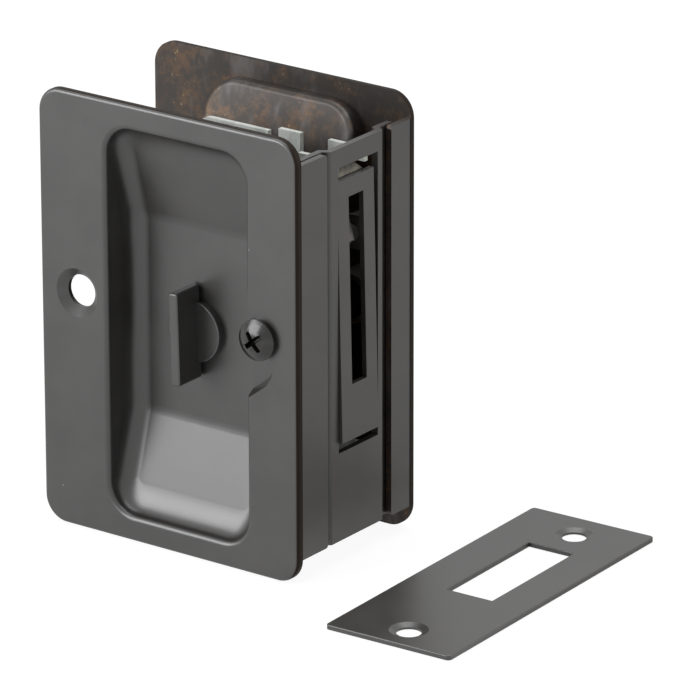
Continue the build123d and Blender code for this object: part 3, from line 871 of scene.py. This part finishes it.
@dataclass
class Case:
    """Case sides with their spacers and posts."""

    finishes: Finishes
    head_radius: float = 1.75 * MM
    head_height: float = 0.40 * MM
    head_segments: int = 24
    head_rings: int = 12

    def build(self) -> None:
        """Dress the case and rivet its spacers over."""
        dress(["case_front_side", "case_back_side"], self.finishes.zinc)
        # painted shade: the pieces inside the case are dressed near-black
        dress(["case_spacers", "detent_spring", "screw_posts"], self.finishes.shade_black)
        self._peened_heads()

    def _peened_heads(self) -> None:
        """Low round heads where the spacers' tenons are riveted over on both case sides."""
        low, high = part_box("case_spacers")
        columns = (low[0] + SPACER_RADIUS, high[0] - SPACER_RADIUS)
        rows = (low[2] + SPACER_RADIUS, high[2] - SPACER_RADIUS)
        places = [(x, y, z) for x in columns for y in (low[1], high[1]) for z in rows]
        points = bpy.data.meshes.new("head_places")
        points.from_pydata(places, [], [])
        group = Blocks("peened_heads", Radius=self.head_radius, Height=self.head_height,
                       Finish=self.finishes.zinc)
        ball = group.node("GeometryNodeMeshUVSphere", inputs={
            "Segments": self.head_segments, "Rings": self.head_rings, "Radius": 1.0})
        radius, height = group.value("Radius"), group.value("Height")
        spread = group.node("GeometryNodeInstanceOnPoints", inputs={
            "Points": group.entry.outputs["Geometry"], "Instance": ball.outputs["Mesh"],
            "Scale": group.vector(radius, height, radius)})
        solid = group.node("GeometryNodeRealizeInstances", inputs={0: spread.outputs[0]})
        smooth = group.node("GeometryNodeSetShadeSmooth", inputs={0: solid.outputs[0]})
        painted = group.node("GeometryNodeSetMaterial", inputs={0: smooth.outputs[0],
                                                                "Material": group.entry.outputs["Finish"]})
        group.end(painted.outputs[0])
        heads = group.settle("peened_heads", points)
        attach(heads, Body.LOCK.value)


@dataclass
class Turn:
    """Thumb turn, release and the hook that they drive."""

    finishes: Finishes

    def build(self) -> None:
        """Dress the turning pieces."""
        dress(["turn", "release_disc"], self.finishes.bronze)
        dress(["turn_clip", "release_clip"], self.finishes.steel)
        # painted shade: hub and spindle inside the case are dressed near-black
        dress(["hook_hub", "spindle"], self.finishes.shade_black)
        dress(["hook_bolt"], self.finishes.hook)


@dataclass
class Screw:
    """Through screw in the right-hand dimple: oval head, short skirt and a cut thread."""

    finishes: Finishes
    crest: float = 2.08 * MM
    root: float = 1.62 * MM
    pitch: float = 0.794 * MM
    thread_start: float = 1.2 * MM
    ridge_share: float = 0.4
    turn_steps: int = 28
    ridge_corners: int = 4
    head_share: float = 0.94
    edge: float = -1.435 * MM
    seat: float = -0.80 * MM
    seam: float = 0.05 * MM

    def build(self) -> None:
        """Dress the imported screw, and show one with its thread in its place."""
        dress(["through_screw"], self.finishes.screw)
        core = self._core(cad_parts["through_screw"].data.copy())
        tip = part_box("through_screw")[1][1]
        ridge = self.ridge_share * self.pitch
        length = tip - self.thread_start - ridge
        group = Blocks(
            "screw_thread", Radius=self.crest - ridge, Ridge=ridge, Length=length,
            Turns=length / self.pitch, Finish=self.finishes.screw,
            Place=(SCREW_AXIS[0], self.thread_start, SCREW_AXIS[1]))
        line = group.node("GeometryNodeCurveSpiral", inputs={
            "Resolution": self.turn_steps, "Rotations": group.value("Turns"), "Height": group.value("Length"),
            "Start Radius": group.value("Radius"), "End Radius": group.value("Radius")})
        section = group.node("GeometryNodeCurvePrimitiveCircle", inputs={
            "Resolution": self.ridge_corners, "Radius": group.value("Ridge")})
        swept = group.node("GeometryNodeCurveToMesh", inputs={
            "Curve": line.outputs[0], "Profile Curve": section.outputs[0], "Fill Caps": True})
        laid = group.node("GeometryNodeTransform", inputs={
            "Geometry": swept.outputs[0], "Translation": group.entry.outputs["Place"],
            "Rotation": (-math.pi / 2, 0.0, 0.0)})
        painted = group.node("GeometryNodeSetMaterial", inputs={0: laid.outputs[0],
                                                                "Material": group.entry.outputs["Finish"]})
        joined = group.node("GeometryNodeJoinGeometry")
        for socket in (group.entry.outputs["Geometry"], painted.outputs[0]):
            group.tree.links.new(socket, joined.inputs[0])
        group.end(joined.outputs[0])
        screw = group.settle("threaded_screw", core)
        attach(screw, Body.LOCK.value)
        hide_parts("through_screw")

    def _core(self, mesh: bpy.types.Mesh) -> bpy.types.Mesh:
        """Turn the plain shank down to the thread's root, and carry the head's edge down to the plate.

        Args:
            mesh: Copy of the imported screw's mesh.

        Returns:
            The same mesh, changed.
        """
        for vertex in mesh.vertices:
            place = vertex.co
            run, rise = place.x - SCREW_AXIS[0], place.z - SCREW_AXIS[1]
            if place.y > 0.0:
                shrink = self.root / self.crest
            elif math.hypot(run, rise) > self.crest:
                shrink = self.head_share
                if abs(place.y - self.edge) < self.seam:
                    place.y = self.seat
            else:
                continue
            place.x, place.z = SCREW_AXIS[0] + run * shrink, SCREW_AXIS[1] + rise * shrink
        return mesh


@dataclass
class Strike:
    """Strike plate that lies beside the lock."""

    finishes: Finishes

    def build(self) -> None:
        """Dress the plate."""
        dress(["strike_plate"], self.finishes.bronze)


@dataclass
class Lamp:
    """One soft box."""

    name: str
    place: Colour
    aim: Colour
    size: tuple[float, float]
    power: float
    colour: Colour = WHITE

    def build(self) -> None:
        """Hang the lamp and turn it to its aim."""
        data = bpy.data.lights.new(self.name, "AREA")
        data.shape = "RECTANGLE"
        data.size, data.size_y = self.size
        data.energy = self.power
        data.color = self.colour
        lamp = bpy.data.objects.new(self.name, data)
        bpy.context.scene.collection.objects.link(lamp)
        place = Vector(self.place)
        turn = (Vector(self.aim) - place).to_track_quat("-Z", "Y")
        lamp.matrix_world = Matrix.Translation(place) @ turn.to_matrix().to_4x4()


@dataclass
class Studio:
    """Pale floor, soft lamps and the camera."""

    azimuth: float = 36.218
    elevation: float = 20.196
    roll: float = -0.101
    distance: float = 1.2129
    lens: float = 344.34
    sensor: float = 36.0
    shift_right: float = 0.021897
    shift_up: float = 0.031147
    depth_centre: float = 0.01685
    floor_size: float = 3.0
    floor_drop: float = 0.2 * MM
    floor_grey: float = 0.86
    glow: float = 1.13
    glow_share: float = 0.82
    mirror_behind: float = 0.63
    mirror_rise: float = 0.25
    rise_below: tuple[float, float] = (-0.03, 0.01)
    rise_ahead: tuple[float, float] = (0.02, 0.24)
    ambient: float = 0.07
    mirrored: float = 0.80
    lamps: list[Lamp] = field(default_factory=lambda: [
        Lamp("key_box", (-0.60, -0.84, 0.42), (0.0, 0.0, 0.04), (0.8, 0.7), 9.5, (0.98, 0.985, 1.0)),
        Lamp("top_box", (0.0, 0.15, 1.05), (0.0, 0.0, 0.0), (1.1, 0.9), 7.0),
        Lamp("side_box", (0.85, 0.50, 0.28), (0.02, 0.01, 0.04), (0.6, 0.5), 2.3, (1.0, 0.93, 0.85)),
    ])

    def build(self) -> None:
        """Build floor, world, lamps and camera."""
        self._floor()
        self._world()
        for lamp in self.lamps:
            lamp.build()
        self._camera()

    def _floor(self) -> None:
        """Pale floor that camera and mirror rays see nearly white, brighter in front for mirrors."""
        mesh = bpy.data.meshes.new("floor")
        half = self.floor_size
        corners = [(-half, -half), (half, -half), (half, half), (-half, half)]
        mesh.from_pydata([(x, y, -self.floor_drop) for x, y in corners], [], [(0, 1, 2, 3)])
        floor = show("floor", mesh)
        graph = Graph("pale_floor")
        path = graph.node("ShaderNodeLightPath")
        seen = Signal(graph, path.outputs["Is Camera Ray"]).larger(Signal(graph, path.outputs["Is Glossy Ray"]))
        in_front = -graph.axes()[1]
        direct = Signal(graph, path.outputs["Is Camera Ray"])
        below = in_front.step(*self.rise_below) * self.mirror_rise
        ahead = in_front.step(*self.rise_ahead) * self.mirror_rise
        strength = direct * self.glow + (1 - direct) * (below + ahead + self.mirror_behind)
        matt = graph.node("ShaderNodeBsdfDiffuse", inputs={"Color": (*(self.floor_grey,) * 3, 1.0)})
        glow = graph.node("ShaderNodeEmission", inputs={"Color": (*WHITE, 1.0), "Strength": strength})
        blend = graph.node("ShaderNodeMixShader", inputs={
            0: seen * self.glow_share, 1: matt.outputs[0], 2: glow.outputs[0]})
        graph.node("ShaderNodeOutputMaterial", inputs={"Surface": blend.outputs[0]})
        mesh.materials.append(graph.material)

    def _world(self) -> None:
        """White surroundings: full white to the camera, nearly so to mirrors, and soft as light."""
        world = bpy.data.worlds.new("studio_world")
        bpy.context.scene.world = world
        world.use_nodes = True
        sky = Tree()
        sky.tree = world.node_tree
        sky.tree.nodes.clear()
        path = sky.node("ShaderNodeLightPath")
        shade = self._plain_sky(sky, self.ambient)
        for ray, strength in (("Is Glossy Ray", self.mirrored), ("Is Camera Ray", 1.0)):
            blend = sky.node("ShaderNodeMixShader", inputs={
                0: path.outputs[ray], 1: shade, 2: self._plain_sky(sky, strength)})
            shade = blend.outputs[0]
        sky.node("ShaderNodeOutputWorld", inputs={"Surface": shade})

    def _plain_sky(self, sky: Tree, strength: float) -> bpy.types.NodeSocket:
        """Add a white background of one strength.

        Args:
            sky: The world's tree.
            strength: Brightness, where 1 is white.

        Returns:
            The background's socket.
        """
        plain = sky.node("ShaderNodeBackground", inputs={"Color": (*WHITE, 1.0), "Strength": strength})
        return plain.outputs[0]

    def _camera(self) -> None:
        """Put the camera at the photograph's place."""
        turn = math.radians(self.azimuth)
        tilt = math.radians(self.elevation)
        right = Vector((math.cos(turn), math.sin(turn), 0.0))
        back = Vector((math.sin(turn) * math.cos(tilt), -math.cos(turn) * math.cos(tilt), math.sin(tilt)))
        up = back.cross(right)
        target = right * self.shift_right + up * self.shift_up + Vector((0.0, self.depth_centre, 0.0))
        spin = math.radians(self.roll)
        right, up = right * math.cos(spin) + up * math.sin(spin), up * math.cos(spin) - right * math.sin(spin)
        eye = target + back * self.distance
        data = bpy.data.cameras.new("camera")
        data.lens = self.lens
        data.sensor_width = self.sensor
        data.clip_end = 20.0
        camera = bpy.data.objects.new("camera", data)
        bpy.context.scene.collection.objects.link(camera)
        turned = Matrix((right, up, back)).transposed().to_4x4()
        camera.matrix_world = Matrix.Translation(eye) @ turned
        bpy.context.scene.camera = camera


def main() -> None:
    """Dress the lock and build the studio."""
    logging.basicConfig(level=logging.INFO, format="%(name)s: %(message)s")
    bpy.context.scene.view_settings.view_transform = "Standard"
    finishes = Finishes()
    for group in (Plates, Edge, Case, Turn, Screw, Strike):
        group(finishes).build()
    Studio().build()
    bpy.context.view_layer.update()


if __name__ == "__main__":
    main()
